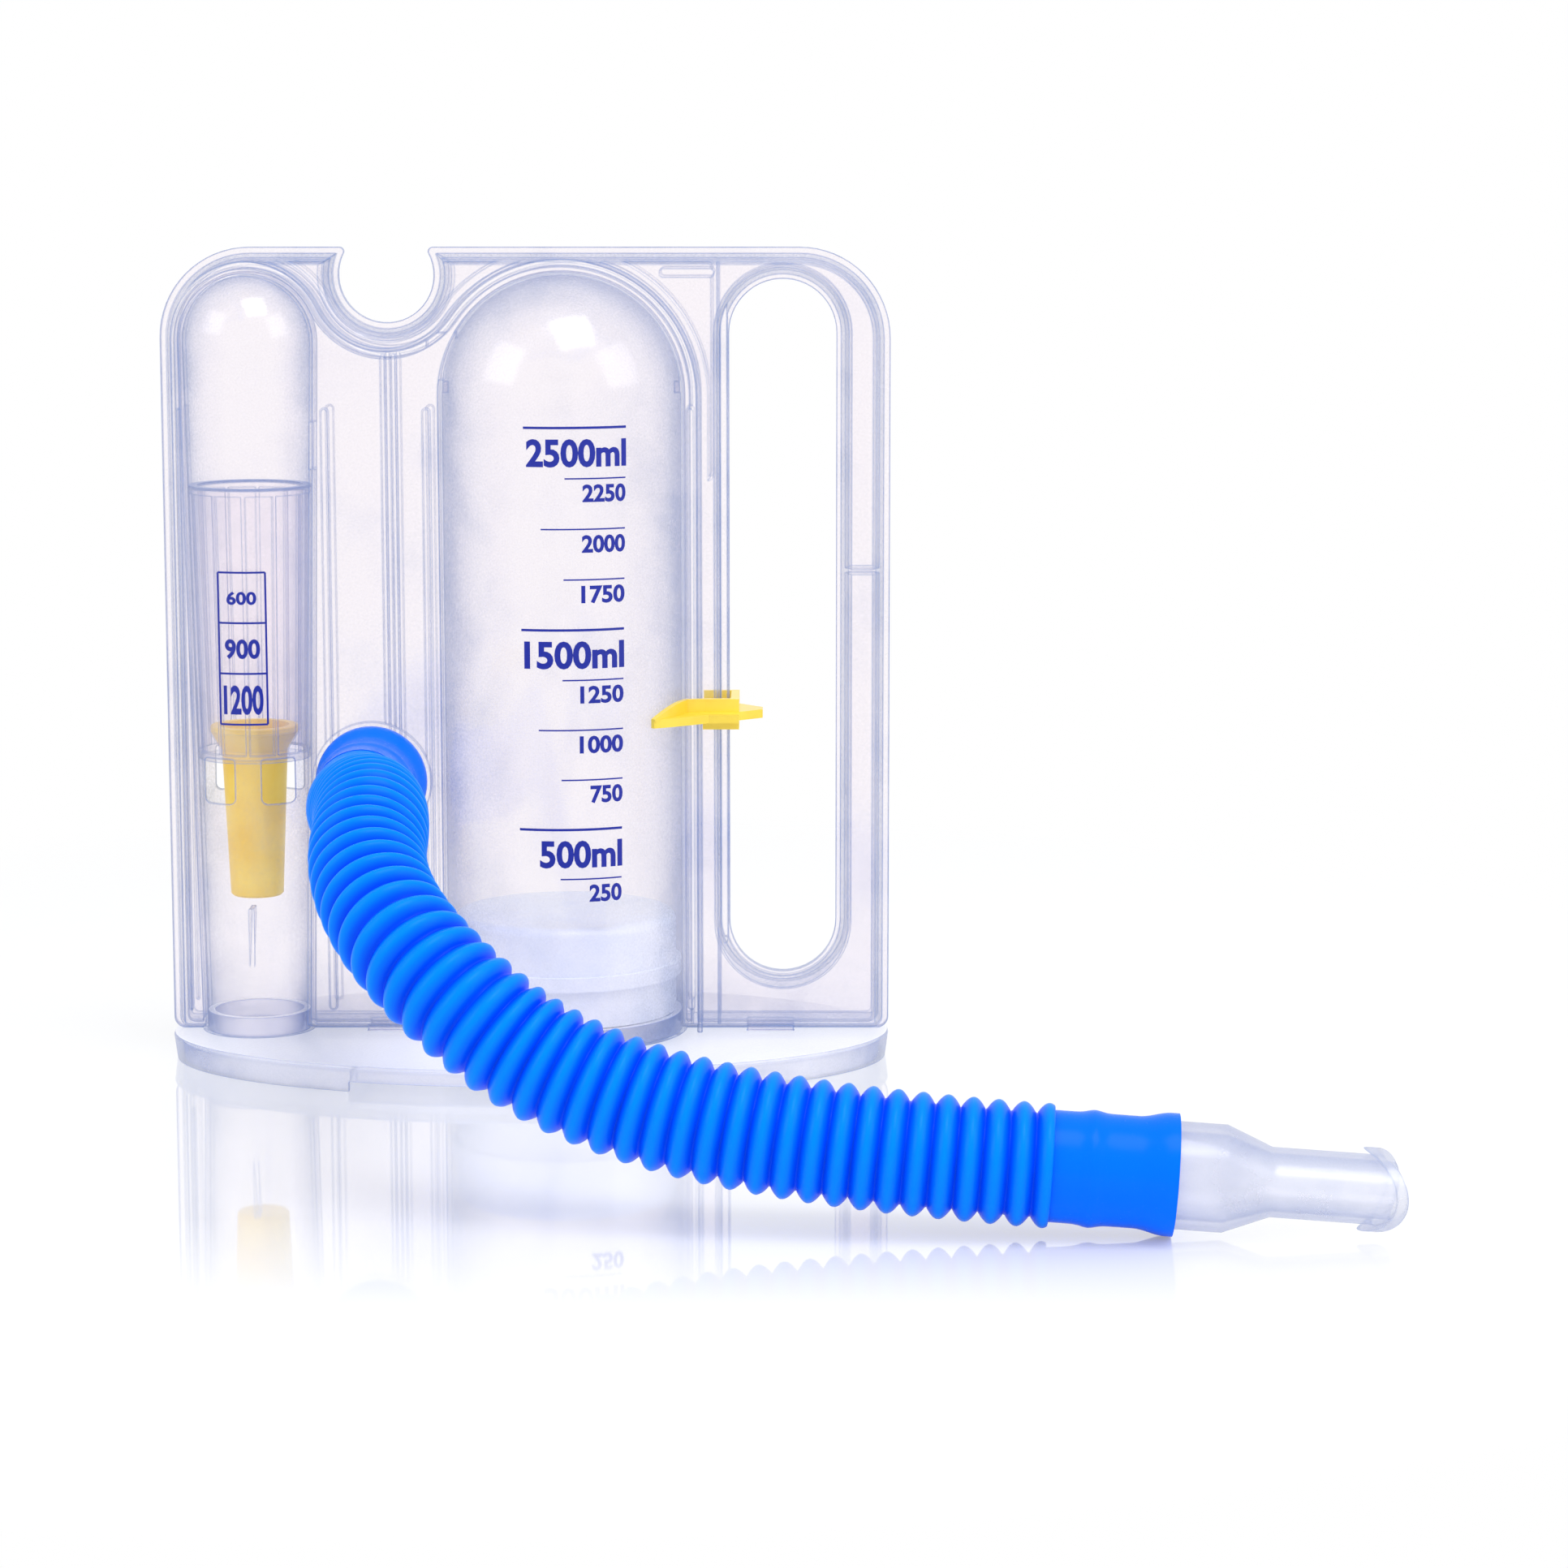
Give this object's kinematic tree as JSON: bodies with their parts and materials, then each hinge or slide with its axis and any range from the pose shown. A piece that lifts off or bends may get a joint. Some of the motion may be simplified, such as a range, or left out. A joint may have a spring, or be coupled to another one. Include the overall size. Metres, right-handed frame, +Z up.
{
  "type": "incentive spirometer",
  "caption": "Clear handheld breathing trainer on an oval foot: wide piston chamber with scale, narrow float chamber, goal pointer, handle, corrugated hose and oval mouthpiece.",
  "frame": {"origin": "middle of the foot's underside", "axes": "+X from the narrow chamber to the handle, +Y to the back, away from the hose, +Z up along the chambers"},
  "size_m": [0.2927, 0.25, 0.208],
  "materials": {
    "clear_shell": "clear glossy styrene moulding",
    "amber_float": "satin yellow moulding",
    "white_piston": "satin white moulding",
    "yellow_pointer": "smooth yellow moulding",
    "blue_hose": "soft bright blue tubing",
    "frosted_mouthpiece": "milky translucent moulding"
  },
  "bodies": {
    "housing": {"front_shell": "clear_shell", "rear_shell": "clear_shell", "foot": "clear_shell", "flow_tube": "clear_shell", "hose_port_cuff": "blue_hose", "breathing_hose": "blue_hose", "hose_mouth_cuff": "blue_hose", "mouthpiece": "frosted_mouthpiece"},
    "piston": {"volume_piston": "white_piston"},
    "float": {"flow_float": "amber_float"},
    "pointer": {"goal_pointer": "yellow_pointer"}
  },
  "joints": [
    {"name": "piston_slide", "type": "slide", "parent": "housing", "child": "piston", "axis": [0, 0, 1], "range_m": [0, 0.132]},
    {"name": "float_slide", "type": "slide", "parent": "housing", "child": "float", "axis": [0, 0, 1], "range_m": [0, 0.052]},
    {"name": "pointer_slide", "type": "slide", "parent": "housing", "child": "pointer", "axis": [0, 0, 1], "range_m": [-0.05, 0.09]}
  ]
}
